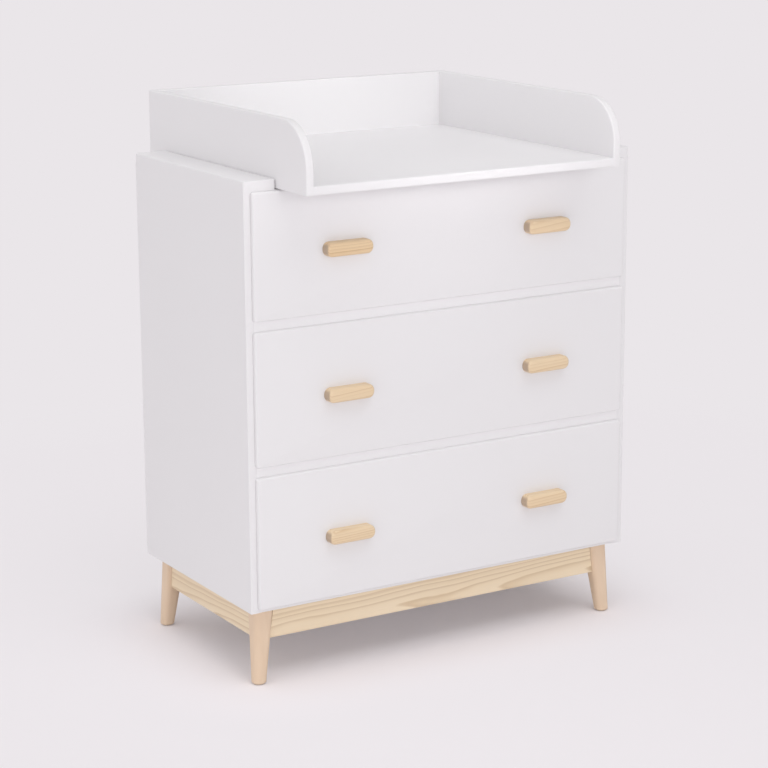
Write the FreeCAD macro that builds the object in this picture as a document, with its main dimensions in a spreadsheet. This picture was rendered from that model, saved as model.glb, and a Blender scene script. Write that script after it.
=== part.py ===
"""Changing dresser: white three-drawer chest on a pine base, with a lift-off changing tray on top.

Frame: millimetres, +Z up, +X to the right and -Y to the front, with the origin on the floor under
the middle of the tray. Every driving size is a cell of the sheet "Sizes", and each piece is bound
to those cells.
"""
import FreeCAD
import Part
import Sketcher
import os
import re

SIZES = {
    # chest: its height is that of the strips on its top
    "width": 800,
    "depth": 420,
    "height": 900,
    "board": 16,
    "rail_depth": 80,
    "back_board": 4,
    "back_setback": 8,
    "back_inset": 4,
    "groove_depth": 6,
    "groove_play": 0.1,
    "board_soft": 1.5,
    # strips on the top, beside the tray
    "strip_board": 18,
    "strip_left": 61.5,
    "strip_gap": 1,
    "strip_soft": 3,
    # changing tray
    "tray_width": 641,
    "tray_depth": 594,
    "tray_height": 120,
    "tray_board": 15,
    "tray_overhang": 105,
    "tray_round": 80,
    "tray_soft": 2,
    "pad_thick": 2,
    "pad_radius": 12,
    "pad_inset": 50,
    "dowel_radius": 4,
    "dowel_long": 24,
    # pine base
    "leg_height": 140,
    "leg_top": 38,
    "leg_foot": 25,
    "leg_inset_top": 19,
    "leg_inset_foot": 13,
    "leg_soft": 10,
    "glide_thick": 2,
    "glide_radius": 9,
    "apron_height": 60,
    "apron_board": 18,
    "apron_inset": 25,
    "apron_soft": 2,
    "brace_board": 30,
    "brace_near": 30,
    "brace_far": 66,
    "bolt_radius": 3,
    "bolt_play": 0.05,
    "bolt_bite": 14,
    "nut_radius": 6.5,
    "nut_thick": 5,
    "bolt_tail": 8,
    # drawer fronts, which lie over the edges of the sides and rails
    "front_top": 222,
    "front_board": 8,
    "front_play": 0.4,
    "front_soft": 4,
    "front_gap": 18,
    "front_rise": 6,
    "top_reveal": 1,
    "rail_cover": 2,
    "side_cover": 3.5,
    # drawer boxes
    "box_board": 12,
    "box_headroom": 45,
    "box_rear_gap": 28.4,
    "box_lift": 16,
    "box_soft": 1.5,
    "base_board": 4,
    "base_lift": 10,
    # runners
    "slide_space": 13,
    "slide_rear_gap": 36,
    "slide_high": 45,
    "slide_wall": 1.2,
    "slide_flange": 11.5,
    "slide_play": 0.1,
    "slide_lift": 38,
    "slide_setback": 22,
    "track_wall": 3,
    # handles
    "handle_long": 92,
    "handle_high": 25,
    "handle_proud": 19,
    "handle_inset": 192,
    "handle_lift": 114,
    "handle_corner": 9,
    "handle_soft": 3,
}

FRONT = "tray_overhang - tray_depth / 2"
REAR = f"{FRONT} + depth"
INNER = "(width / 2 - board)"
BASE_TOP = "leg_height"
CARCASS_TOP = "(height - strip_board)"
FRONT_TOP = f"({CARCASS_TOP} - top_reveal - front_top)"
FRONT_BOTTOM = f"({BASE_TOP} + front_rise)"
# the two lower fronts share what the top one leaves of the height
FRONT_LOW = f"(({FRONT_TOP} - {FRONT_BOTTOM}) / 2 - front_gap)"
FRONT_MIDDLE = f"({FRONT_TOP} - front_gap - {FRONT_LOW})"
RAIL_BOARD = "(front_gap + 2 * rail_cover)"
RAIL_BOTTOM = f"({FRONT_MIDDLE} + rail_cover - {RAIL_BOARD})"
RAIL_TOP = f"({FRONT_TOP} + rail_cover - {RAIL_BOARD})"
TRAY_LEFT = "-width / 2 + strip_left + strip_gap"
TRAY_BOTTOM = f"{CARCASS_TOP} + pad_thick"
BACK_FACE = f"{REAR} - back_setback - back_board"
FRONT_FACE = f"{FRONT} - front_play - front_board"
BOX_HALF = f"({INNER} - slide_space)"
# boxes and runners end at a set gap before the back panel, so they follow the chest's depth
BOX_DEPTH = f"({BACK_FACE} - box_rear_gap - ({FRONT_FACE} + front_board))"
SLIDE_LONG = f"({BACK_FACE} - slide_rear_gap - ({FRONT} + slide_setback))"
# hanger bolts: distances inwards from both sides of a corner, along its diagonal
BOLT_LEVEL = f"{BASE_TOP} - apron_height / 2"
BOLT_START = "leg_inset_top + leg_top - bolt_bite"
BRACE_FAR_FACE = "(apron_inset + apron_board + brace_far / 2)"

doc = FreeCAD.newDocument("changing_dresser")
sheet = doc.addObject("Spreadsheet::Sheet", "Sizes")
for row, (alias, size) in enumerate(SIZES.items(), start=1):
    sheet.set(f"A{row}", alias)
    sheet.set(f"B{row}", str(size))
    sheet.setAlias(f"B{row}", alias)
doc.recompute()

nodes = []


# corners of the carcass, anticlockwise from above, each with the two signs that lead inwards;
# the base's pieces repeat at each, turned with it
CORNERS = (
    ("front_left", "-width / 2", FRONT, "+", "+"),
    ("front_right", "width / 2", FRONT, "-", "+"),
    ("rear_right", "width / 2", REAR, "-", "-"),
    ("rear_left", "-width / 2", REAR, "+", "-"),
)
QUARTER_TURN = 90
WORD = re.compile(r"\b[a-z][a-z_]*\b(?!\()")


def formula(text):
    """Point each size's name in a formula at its cell. A function's name is left as it is."""
    return WORD.sub(lambda word: f"Sizes.{word.group()}", text)


def bind(item, prop, text):
    """Bind one property of an object to a formula of the sheet's sizes."""
    item.setExpression(prop, formula(text))


def put(item, place):
    """Bind an object's place to three formulas."""
    for axis, text in zip("xyz", place):
        bind(item, f"Placement.Base.{axis}", text)


def keep(item, label):
    """Name a finished piece, so that it is written under that name."""
    item.Label = label
    nodes.append(item)
    return item


def origin_plane(body, role):
    """Find one of a body's own planes."""
    return next(item for item in body.Origin.OriginFeatures if item.Role == role)


def sketch_on(body, role, lift=None):
    """Start a sketch on one of a body's planes, lifted along its normal where asked."""
    sketch = body.newObject("Sketcher::SketchObject", "Profile")
    sketch.AttachmentSupport = [(origin_plane(body, role), "")]
    sketch.MapMode = "FlatFace"
    if lift is not None:
        bind(sketch, "AttachmentOffset.Base.z", lift)
    return sketch


def pin_point(sketch, geometry, point, name, spot):
    """Hold one point of a sketch at two formulas, measured from the sketch's origin."""
    for kind, axis, text in (("DistanceX", -2, spot[0]), ("DistanceY", -1, spot[1])):
        if text == "0":
            sketch.addConstraint(Sketcher.Constraint("PointOnObject", geometry, point, axis))
            continue
        index = sketch.addConstraint(Sketcher.Constraint(kind, -1, 1, geometry, point, 1.0))
        sketch.renameConstraint(index, f"{name}_{kind[-1].lower()}")
        bind(sketch, f"Constraints.{name}_{kind[-1].lower()}", text)


def value(text):
    """Work out a formula with the sheet's present values."""
    return FreeCAD.Units.Quantity(WORD.sub(lambda word: f"({sheet.get(word.group())})", text)).Value


def outline(sketch, corners):
    """Draw a closed outline whose corners are pairs of formulas, none below zero."""
    spots = [FreeCAD.Vector(value(across), value(up), 0) for across, up in corners]
    for index, spot in enumerate(spots):
        sketch.addGeometry(Part.LineSegment(spot, spots[(index + 1) % len(spots)]), False)
    for index in range(len(spots)):
        following = (index + 1) % len(spots)
        sketch.addConstraint(Sketcher.Constraint("Coincident", index, 2, following, 1))
    for index, corner in enumerate(corners):
        pin_point(sketch, index, 1, f"corner_{index}", corner)


def rectangle(across, up):
    """Corners of a rectangle with one corner on the origin."""
    return [("0", "0"), (across, "0"), (across, up), ("0", up)]


def extrusion(role, corners, length, place, backwards=False):
    """Pad an outline drawn on a plane of its own body. The body is put at its place."""
    body = doc.addObject("PartDesign::Body", "Blank")
    profile = sketch_on(body, role)
    outline(profile, corners)
    pad = body.newObject("PartDesign::Pad", "Pad")
    pad.Profile = profile
    pad.Reversed = backwards
    bind(pad, "Length", length)
    put(body, place)
    doc.recompute()
    return body


def board(size, place):
    """Rectangular board of three sizes, with its low corner at its place."""
    return extrusion("XY_Plane", rectangle(size[0], size[1]), size[2], place)


def dress(body, kind, prop, size, chosen):
    """Add a fillet or a chamfer to the chosen edges of a body's last shape."""
    tip = body.Tip
    names = [f"Edge{index}" for index, edge in enumerate(tip.Shape.Edges, start=1) if chosen(edge)]
    feature = body.newObject(kind, "Edges")
    feature.Base = (tip, names)
    bind(feature, prop, size)
    doc.recompute()
    return body


def soften(body, radius, chosen):
    """Round the chosen edges of a body's last shape."""
    return dress(body, "PartDesign::Fillet", "Radius", radius, chosen)


def bevel(body, width, chosen):
    """Chamfer the chosen edges of a body's last shape."""
    return dress(body, "PartDesign::Chamfer", "Size", width, chosen)


def runs_along(axis):
    """Test for straight edges parallel to an axis."""
    def test(edge):
        ends = [vertex.Point for vertex in edge.Vertexes]
        if len(ends) != 2:
            return False
        span = ends[1] - ends[0]
        return abs(getattr(span.normalize(), axis)) > 0.999
    return test


def lies_at(axis, level):
    """Test for edges that lie wholly at one level of an axis, in the body's own frame."""
    def test(edge):
        box = edge.BoundBox
        low = getattr(box, f"{axis.upper()}Min")
        high = getattr(box, f"{axis.upper()}Max")
        return abs(low - level) < 0.01 and abs(high - level) < 0.01
    return test


def drill(body, role, centres, radius, depth, backwards=False, lift=None):
    """Drill round holes from a plane of a body, at centres given as pairs of formulas."""
    tip = body.Tip
    before = tip.Shape.Volume
    sketch = sketch_on(body, role, lift)
    for index, centre in enumerate(centres):
        spot = FreeCAD.Vector(value(centre[0]), value(centre[1]), 0)
        sketch.addGeometry(Part.Circle(spot, FreeCAD.Vector(0, 0, 1), value(radius)), False)
        ring = sketch.addConstraint(Sketcher.Constraint("Radius", index, value(radius)))
        sketch.renameConstraint(ring, f"radius_{index}")
        bind(sketch, f"Constraints.radius_{index}", radius)
        pin_point(sketch, index, 3, f"centre_{index}", centre)
    pocket = body.newObject("PartDesign::Pocket", "Holes")
    pocket.Profile = sketch
    pocket.Reversed = backwards
    bind(pocket, "Length", depth)
    doc.recompute()
    if body.Shape.Volume >= before:
        raise RuntimeError(f"{body.Label}: the holes cut nothing")
    return body


def cylinder(radius, height, place):
    """Plain upright cylinder that stands at its place."""
    rod = doc.addObject("Part::Cylinder", "Rod")
    bind(rod, "Radius", radius)
    bind(rod, "Height", height)
    put(rod, place)
    return rod


def group(label, pieces):
    """Several separate solids that share one node."""
    bundle = doc.addObject("Part::Compound", "Group")
    bundle.Links = pieces
    return keep(bundle, label)


def mirrored_pair(label, left_piece):
    """A left piece and its mirror image on the right, in one node."""
    right_piece = doc.addObject("Part::Mirroring", "Mirrored")
    right_piece.Source = left_piece
    right_piece.Normal = FreeCAD.Vector(1, 0, 0)
    return group(label, [left_piece, right_piece])


def make_carcass():
    """Sides, top, bottom, rails and back. The back slides in a groove of each side."""
    groove_front = f"{BACK_FACE} - groove_play - ({FRONT})"
    groove_back = f"{BACK_FACE} + back_board + groove_play - ({FRONT})"
    height = f"{CARCASS_TOP} - ({BASE_TOP})"
    grooved_left = [
        ("0", "0"),
        ("board", "0"),
        ("board", groove_front),
        ("board - groove_depth", groove_front),
        ("board - groove_depth", groove_back),
        ("board", groove_back),
        ("board", "depth"),
        ("0", "depth"),
    ]
    grooved_right = [(f"board - ({across})", up) for across, up in grooved_left]
    grooved_right = [("0" if across == "board - (board)" else across, up) for across, up in grooved_right]
    for side, corners, left_edge in (
        ("left", grooved_left, "-width / 2"),
        ("right", grooved_right, INNER),
    ):
        panel = extrusion("XY_Plane", corners, height, (left_edge, FRONT, BASE_TOP))
        soften(panel, "board_soft", outer_corners(panel))
        keep(panel, f"side_panel_{side}")

    clear_width = f"2 * {INNER}"
    panel_size = (clear_width, f"{BACK_FACE} - ({FRONT})", "board")
    keep(board(panel_size, (f"-{INNER}", FRONT, f"{CARCASS_TOP} - board")), "top_panel")
    bottom = board(panel_size, (f"-{INNER}", FRONT, BASE_TOP))
    soften(bottom, "board_soft", lambda edge: (
        runs_along("x")(edge) and lies_at("y", 0)(edge) and lies_at("z", 0)(edge)))
    keep(bottom, "bottom_panel")

    for name, low in (("rail_lower", RAIL_BOTTOM), ("rail_upper", RAIL_TOP)):
        rail = board((clear_width, "rail_depth", RAIL_BOARD), (f"-{INNER}", FRONT, low))
        soften(rail, "board_soft", lambda edge: runs_along("x")(edge) and lies_at("y", 0)(edge))
        keep(rail, name)

    back_size = (f"{clear_width} + 2 * (groove_depth - groove_play)", "back_board", f"{height} - 2 * back_inset")
    back_place = (f"-{INNER} - groove_depth + groove_play", BACK_FACE, f"{BASE_TOP} + back_inset")
    keep(board(back_size, back_place), "back_panel")


def outer_corners(panel):
    """Test for a panel's four upright corners, leaving the groove's edges sharp."""
    box = panel.Tip.Shape.BoundBox

    def test(edge):
        spot = edge.BoundBox
        at_end = min(abs(spot.YMin - box.YMin), abs(spot.YMax - box.YMax)) < 0.01
        at_face = min(abs(spot.XMin - box.XMin), abs(spot.XMax - box.XMax)) < 0.01
        return runs_along("z")(edge) and at_end and at_face
    return test


def make_strips():
    """Two strips on the carcass that hold the tray between them."""
    right_width = "width - strip_left - 2 * strip_gap - tray_width"
    for side, across, left_edge in (
        ("left", "strip_left", "-width / 2"),
        ("right", right_width, f"width / 2 - ({right_width})"),
    ):
        strip = board((across, "depth", "strip_board"), (left_edge, FRONT, CARCASS_TOP))
        soften(strip, "strip_soft", lies_at("z", value("strip_board")))
        keep(strip, f"top_strip_{side}")


def turn_to(item, quarter):
    """Turn an object to one corner of the carcass and put its origin there."""
    _, across, along, _, _ = CORNERS[quarter]
    item.Placement.Rotation = FreeCAD.Rotation(FreeCAD.Vector(0, 0, 1), quarter * QUARTER_TURN)
    put(item, (across, along, "0"))
    doc.recompute()


def corner_point(quarter, inwards, up):
    """Formulas of a point that lies as far inwards from both sides of one corner."""
    _, across, along, sign_across, sign_along = CORNERS[quarter]
    return (f"{across} {sign_across} ({inwards})", f"{along} {sign_along} ({inwards})", up)


def lie_on_diagonal(item, quarter, inwards):
    """Lay an upright object along a corner's diagonal, at the level of the hanger bolts."""
    lying = FreeCAD.Rotation(FreeCAD.Vector(0, 0, 1), FreeCAD.Vector(1, 1, 0))
    item.Placement.Rotation = FreeCAD.Rotation(FreeCAD.Vector(0, 0, 1), quarter * QUARTER_TURN) * lying
    put(item, corner_point(quarter, inwards, BOLT_LEVEL))


def hanger_rod(quarter, radius):
    """Rod that runs from inside a leg through its brace, along the corner's diagonal."""
    length = f"({BRACE_FAR_FACE} - ({BOLT_START})) * sqrt(2) + nut_thick + bolt_tail"
    rod = cylinder(radius, length, ("0", "0", "0"))
    lie_on_diagonal(rod, quarter, BOLT_START)
    return rod


def drilled(body, quarter, name):
    """Body with the hole for its corner's hanger bolt."""
    cut = doc.addObject("Part::Cut", name)
    cut.Base = body
    cut.Tool = hanger_rod(quarter, "bolt_radius + bolt_play")
    return cut


def make_leg(quarter):
    """Tapered leg that splays to its foot. Its own corner of the carcass is its origin."""
    body = doc.addObject("PartDesign::Body", "Leg")
    taper = body.newObject("PartDesign::AdditiveWedge", "Taper")
    # the wedge narrows along its own Y axis, which stands upright here
    taper.Placement.Rotation = FreeCAD.Rotation(FreeCAD.Vector(1, 0, 0), QUARTER_TURN)
    bind(taper, "Ymin", "glide_thick")
    bind(taper, "Ymax", BASE_TOP)
    for level, inset, across in (
        ("", "leg_inset_foot", "leg_foot"),
        ("2", "leg_inset_top", "leg_top"),
    ):
        bind(taper, f"X{level}min", inset)
        bind(taper, f"X{level}max", f"{inset} + {across}")
        bind(taper, f"Z{level}min", f"-{inset} - {across}")
        bind(taper, f"Z{level}max", f"-{inset}")
    turn_to(body, quarter)
    foot = value("glide_thick")
    head = value(BASE_TOP)

    def upright(edge):
        return abs(edge.BoundBox.ZMin - foot) < 0.1 and abs(edge.BoundBox.ZMax - head) < 0.1
    soften(body, "leg_soft", upright)
    keep(drilled(body, quarter, "LegDrilled"), f"leg_{CORNERS[quarter][0]}")


def make_brace(quarter):
    """Corner brace between two aprons, drilled for the hanger bolt."""
    inner = "apron_inset + apron_board"
    body = doc.addObject("PartDesign::Body", "Brace")
    profile = sketch_on(body, "XY_Plane", f"{BOLT_LEVEL} - brace_board / 2")
    outline(profile, [
        (f"{inner} + brace_near", inner),
        (f"{inner} + brace_far", inner),
        (inner, f"{inner} + brace_far"),
        (inner, f"{inner} + brace_near"),
    ])
    pad = body.newObject("PartDesign::Pad", "Pad")
    pad.Profile = profile
    bind(pad, "Length", "brace_board")
    turn_to(body, quarter)
    return drilled(body, quarter, "BraceDrilled")


def make_hanger(quarter):
    """Hanger bolt with its nut, which draws the leg into the corner."""
    nut = doc.addObject("Part::Prism", "Nut")
    nut.Polygon = 6
    bind(nut, "Circumradius", "nut_radius")
    bind(nut, "Height", "nut_thick")
    lie_on_diagonal(nut, quarter, BRACE_FAR_FACE)
    whole = doc.addObject("Part::Fuse", "Hanger")
    whole.Base = hanger_rod(quarter, "bolt_radius")
    whole.Tool = nut
    return whole


def make_glide(quarter):
    """Round glide under the middle of a leg's foot."""
    foot = corner_point(quarter, "leg_inset_foot + leg_foot / 2", "0")
    return cylinder("glide_radius", "glide_thick", foot)


def make_apron(quarter, name, run):
    """Apron between two legs. Its ends follow the slope of the legs' inner faces."""
    share = "(apron_height / (leg_height - glide_thick))"
    slope = f"((leg_inset_top + leg_top - leg_inset_foot - leg_foot) * {share})"
    top_end = "leg_inset_top + leg_top"
    low = f"{BASE_TOP} - apron_height"
    body = doc.addObject("PartDesign::Body", "Apron")
    profile = sketch_on(body, "XZ_Plane", "-apron_inset")
    outline(profile, [
        (f"{top_end} - {slope}", low),
        (f"{run} - ({top_end} - {slope})", low),
        (f"{run} - ({top_end})", BASE_TOP),
        (top_end, BASE_TOP),
    ])
    pad = body.newObject("PartDesign::Pad", "Pad")
    pad.Profile = profile
    pad.Reversed = True
    bind(pad, "Length", "apron_board")
    turn_to(body, quarter)
    level = value(low)
    soften(body, "apron_soft", lambda edge: runs_along("x")(edge) and lies_at("z", level)(edge))
    keep(body, name)


def make_base():
    """Four legs, four aprons, corner braces with hanger bolts, and glides."""
    quarters = range(len(CORNERS))
    for quarter in quarters:
        make_leg(quarter)
    for quarter, (name, run) in enumerate((
        ("apron_front", "width"),
        ("apron_right", "depth"),
        ("apron_rear", "width"),
        ("apron_left", "depth"),
    )):
        make_apron(quarter, name, run)
    group("corner_braces", [make_brace(quarter) for quarter in quarters])
    group("hanger_bolts", [make_hanger(quarter) for quarter in quarters])
    group("floor_glides", [make_glide(quarter) for quarter in quarters])


def make_tray():
    """Floor between two side walls and a back wall. The side walls' top front corners are round."""
    wall_depth = "tray_depth - tray_board"
    tray_front = "-tray_depth / 2"
    high = value("tray_height")
    inner = value("tray_board")
    for side, left_edge in (("left", TRAY_LEFT), ("right", f"{TRAY_LEFT} + tray_width - tray_board")):
        wall = extrusion("YZ_Plane", rectangle(wall_depth, "tray_height"),
                         "tray_board", (left_edge, tray_front, TRAY_BOTTOM))
        soften(wall, "tray_round", lambda edge: (
            runs_along("x")(edge) and lies_at("y", 0)(edge) and lies_at("z", high)(edge)))
        face = 0 if side == "right" else inner
        rim = [lies_at("x", 0), lies_at("x", inner)]
        bevel(wall, "tray_soft", lambda edge: (
            any(test(edge) for test in rim)
            and edge.BoundBox.ZMax > value("tray_board")
            and edge.BoundBox.YMin < value(wall_depth) - 1))
        drill(wall, "YZ_Plane", dowel_centres(), "dowel_radius", "dowel_long / 2",
              backwards=(side == "right"), lift=None if face == 0 else "tray_board")
        keep(wall, f"tray_wall_{side}")

    back = board(("tray_width", "tray_board", "tray_height"),
                 (TRAY_LEFT, "tray_depth / 2 - tray_board", TRAY_BOTTOM))
    bevel(back, "tray_soft", lambda edge: (
        (runs_along("x")(edge) and lies_at("z", high)(edge))
        or (runs_along("z")(edge) and lies_at("y", inner)(edge))))
    keep(back, "tray_wall_back")

    floor_width = "tray_width - 2 * tray_board"
    floor = board((floor_width, wall_depth, "tray_board"),
                  (f"{TRAY_LEFT} + tray_board", tray_front, TRAY_BOTTOM))
    bevel(floor, "tray_soft", lambda edge: (
        runs_along("x")(edge) and lies_at("y", 0)(edge) and lies_at("z", inner)(edge)))
    drill(floor, "YZ_Plane", dowel_centres(), "dowel_radius", "dowel_long / 2", backwards=True)
    drill(floor, "YZ_Plane", dowel_centres(), "dowel_radius", "dowel_long / 2", lift=floor_width)
    keep(floor, "tray_floor")

    dowels = []
    for joint in (f"{TRAY_LEFT} + tray_board", f"{TRAY_LEFT} + tray_width - tray_board"):
        for along, up in dowel_centres():
            place = (f"{joint} - dowel_long / 2", f"{tray_front} + {along}", f"{TRAY_BOTTOM} + {up}")
            dowel = cylinder("dowel_radius", "dowel_long", place)
            dowel.Placement.Rotation = FreeCAD.Rotation(FreeCAD.Vector(0, 1, 0), QUARTER_TURN)
            dowels.append(dowel)
    group("tray_dowels", dowels)

    pads = []
    for across in (f"{TRAY_LEFT} + pad_inset", f"{TRAY_LEFT} + tray_width - pad_inset"):
        for along in (f"{FRONT} + pad_inset", f"{REAR} - pad_inset"):
            pads.append(cylinder("pad_radius", "pad_thick", (across, along, CARCASS_TOP)))
    group("tray_pads", pads)


def dowel_centres():
    """Dowels along the joint of floor and wall, as pairs along the joint and up from its lower edge."""
    spacing = "(tray_depth - tray_board) / 4"
    return [(f"{share} * {spacing}", "tray_board / 2") for share in (1, 3)]


def make_drawer(name, low, front_height):
    """One drawer: a front screwed to a box with its base board, two handles, and its runners."""
    front_half = f"({INNER} + side_cover)"
    front = board((f"2 * {front_half}", "front_board", front_height), (f"-{front_half}", FRONT_FACE, low))
    soften(front, "front_soft", lies_at("y", 0))
    keep(front, f"{name}_front")

    box_low = f"{low} + box_lift"
    box_height = f"({front_height} - box_lift - box_headroom)"
    box_front = f"{FRONT_FACE} + front_board"
    groove_low = "base_lift"
    groove_high = "base_lift + base_board + 2 * groove_play"
    groove_place = f"{low} + box_lift + base_lift"
    grooved = [
        ("0", "0"),
        ("box_board", "0"),
        ("box_board", groove_low),
        ("box_board - groove_depth", groove_low),
        ("box_board - groove_depth", groove_high),
        ("box_board", groove_high),
        ("box_board", box_height),
        ("0", box_height),
    ]
    facing_left = [("0" if across == "box_board" else "box_board" if across == "0" else "groove_depth", up)
                   for across, up in grooved]
    for side, corners, left_edge in (
        ("left", grooved, f"-{BOX_HALF}"),
        ("right", facing_left, f"{BOX_HALF} - box_board"),
    ):
        piece = extrusion("XZ_Plane", corners, BOX_DEPTH,
                          (left_edge, box_front, box_low), backwards=True)
        top = value(box_height)
        soften(piece, "box_soft", lambda edge: runs_along("y")(edge) and lies_at("z", top)(edge))
        keep(piece, f"{name}_side_{side}")

    clear = f"2 * ({BOX_HALF} - box_board)"
    for end, corners, start in (
        ("box_front", grooved, box_front),
        ("back", facing_left, f"{box_front} + {BOX_DEPTH} - box_board"),
    ):
        piece = extrusion("YZ_Plane", corners, clear, (f"-({BOX_HALF} - box_board)", start, box_low))
        soften(piece, "box_soft", lambda edge: runs_along("x")(edge) and lies_at("z", top)(edge))
        keep(piece, f"{name}_{end}")

    in_groove = "(groove_depth - groove_play)"
    base_size = (f"{clear} + 2 * {in_groove}", f"{BOX_DEPTH} - 2 * box_board + 2 * {in_groove}", "base_board")
    base_place = (f"-({BOX_HALF} - box_board) - {in_groove}", f"{box_front} + box_board - {in_groove}",
                  f"{groove_place} + groove_play")
    keep(board(base_size, base_place), f"{name}_base")

    for side, sign in (("left", "-"), ("right", "+")):
        make_handle(f"{name}_handle_{side}", f"{sign}(width / 2 - handle_inset)", f"{low} + handle_lift")
    make_runners(name, f"{box_low} + slide_lift")


def make_handle(name, middle, level):
    """Pine bar handle with round corners and bevelled front edges."""
    body = extrusion("XZ_Plane", rectangle("handle_long", "handle_high"), "handle_proud",
                     (f"{middle} - handle_long / 2", FRONT_FACE, f"{level} - handle_high / 2"))
    soften(body, "handle_corner", runs_along("y"))
    bevel(body, "handle_soft", lies_at("y", -value("handle_proud")))
    keep(body, name)


def channel(across, high, wall_high):
    """Section of a channel that opens to the right: its web is on the left."""
    return [
        ("0", "0"),
        (across, "0"),
        (across, wall_high),
        ("slide_wall", wall_high),
        ("slide_wall", f"{high} - {wall_high}"),
        (across, f"{high} - {wall_high}"),
        (across, high),
        ("0", high),
    ]


def make_runners(name, level):
    """Telescopic runners: a channel on the carcass, one on the drawer, and one between them."""
    start = f"{FRONT} + slide_setback"
    middle_high = "(slide_high - 2 * slide_wall - 2 * slide_play)"
    inner_high = f"({middle_high} - 2 * track_wall - 2 * slide_play)"
    outer = extrusion("XZ_Plane", channel("slide_flange", "slide_high", "slide_wall"),
                      SLIDE_LONG, (f"-{INNER}", start, level), backwards=True)
    mirrored_pair(f"{name}_runner_outer", outer)
    middle = extrusion("XZ_Plane",
                       channel("slide_flange - slide_wall - slide_play", middle_high, "track_wall"),
                       SLIDE_LONG, (f"-{INNER} + slide_wall + slide_play", start,
                                    f"{level} + slide_wall + slide_play"), backwards=True)
    mirrored_pair(f"{name}_runner_middle", middle)
    reach = "slide_space - 2 * slide_wall - 2 * slide_play"
    facing_right = channel(reach, inner_high, "slide_wall")
    facing_left = [(("0" if across == reach else reach if across == "0" else f"{reach} - slide_wall"), up)
                   for across, up in facing_right]
    inner = extrusion("XZ_Plane", facing_left, SLIDE_LONG,
                      (f"-{INNER} + slide_space - ({reach})", start,
                       f"{level} + slide_wall + track_wall + 2 * slide_play"), backwards=True)
    mirrored_pair(f"{name}_runner_inner", inner)


make_carcass()
make_strips()
make_base()
make_tray()
make_drawer("drawer_top", FRONT_TOP, "front_top")
make_drawer("drawer_middle", FRONT_MIDDLE, FRONT_LOW)
make_drawer("drawer_bottom", FRONT_BOTTOM, FRONT_LOW)
doc.recompute()

for item in doc.Objects:
    if "Invalid" in item.State or "Error" in item.State:
        raise RuntimeError(f"{item.Name} ({item.Label}) did not build: {item.State}")
os.makedirs("parts", exist_ok=True)
for item in nodes:
    if item.Shape.isNull() or not item.Shape.isValid() or not item.Shape.Solids:
        raise RuntimeError(f"{item.Label} has no valid solid")
    item.Shape.exportStep(f"parts/{item.Label}.step")
print(f"{len(nodes)} nodes written")
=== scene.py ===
"""Changing dresser: the finishes, the softly rounded pieces and the small fastenings.

Metres, +Z up, -Y to the front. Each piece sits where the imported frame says, and rides on its body.
"""
import logging
import math
from dataclasses import dataclass
from enum import Enum
from functools import cached_property
from typing import Callable

import bmesh
import bpy
from mathutils import Euler, Matrix, Vector


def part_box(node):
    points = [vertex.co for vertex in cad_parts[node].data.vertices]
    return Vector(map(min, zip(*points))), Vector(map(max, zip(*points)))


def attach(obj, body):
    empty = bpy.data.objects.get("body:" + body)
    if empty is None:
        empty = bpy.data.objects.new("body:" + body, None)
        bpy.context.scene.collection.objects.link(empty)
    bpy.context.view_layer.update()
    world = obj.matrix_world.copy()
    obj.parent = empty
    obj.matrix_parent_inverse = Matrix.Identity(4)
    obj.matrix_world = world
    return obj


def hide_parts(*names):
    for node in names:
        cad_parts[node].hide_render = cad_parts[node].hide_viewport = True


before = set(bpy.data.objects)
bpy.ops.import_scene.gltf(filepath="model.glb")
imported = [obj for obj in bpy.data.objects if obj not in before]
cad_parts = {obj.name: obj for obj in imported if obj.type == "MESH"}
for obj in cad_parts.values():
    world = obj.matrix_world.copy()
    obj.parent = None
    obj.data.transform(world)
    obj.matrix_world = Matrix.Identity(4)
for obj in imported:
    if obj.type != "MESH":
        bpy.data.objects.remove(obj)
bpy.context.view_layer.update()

LOG = logging.getLogger("changing_dresser")
MM = 0.001
QUARTER_TURN = math.radians(90.0)
SAME_LEVEL = 0.01 * MM
PARALLEL = 0.999  # share of an edge's length along an axis from which it counts as parallel
Colour = tuple[float, float, float]
Place = tuple[float, float, float]
Span = tuple[Vector, Vector]
EdgeTest = Callable[[Vector, Vector], bool]


class Axis(Enum):
    """Direction of a board's length, by its place in a vector."""

    ACROSS = 0
    DEEP = 1
    UPRIGHT = 2


class Slot(Enum):
    """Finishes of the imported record."""

    WHITE_LACQUER = "white_lacquer"
    WHITE_MELAMINE = "white_melamine"
    WHITE_FIBREBOARD = "white_fibreboard"
    PINE = "pine"
    PLAIN_WOOD = "plain_wood"
    RUNNER_STEEL = "runner_steel"
    ZINC_STEEL = "zinc_steel"
    GLIDE_PLASTIC = "glide_plastic"
    PAD_RUBBER = "pad_rubber"


# ---------------------------------------------------------------- shared shader groups


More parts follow.
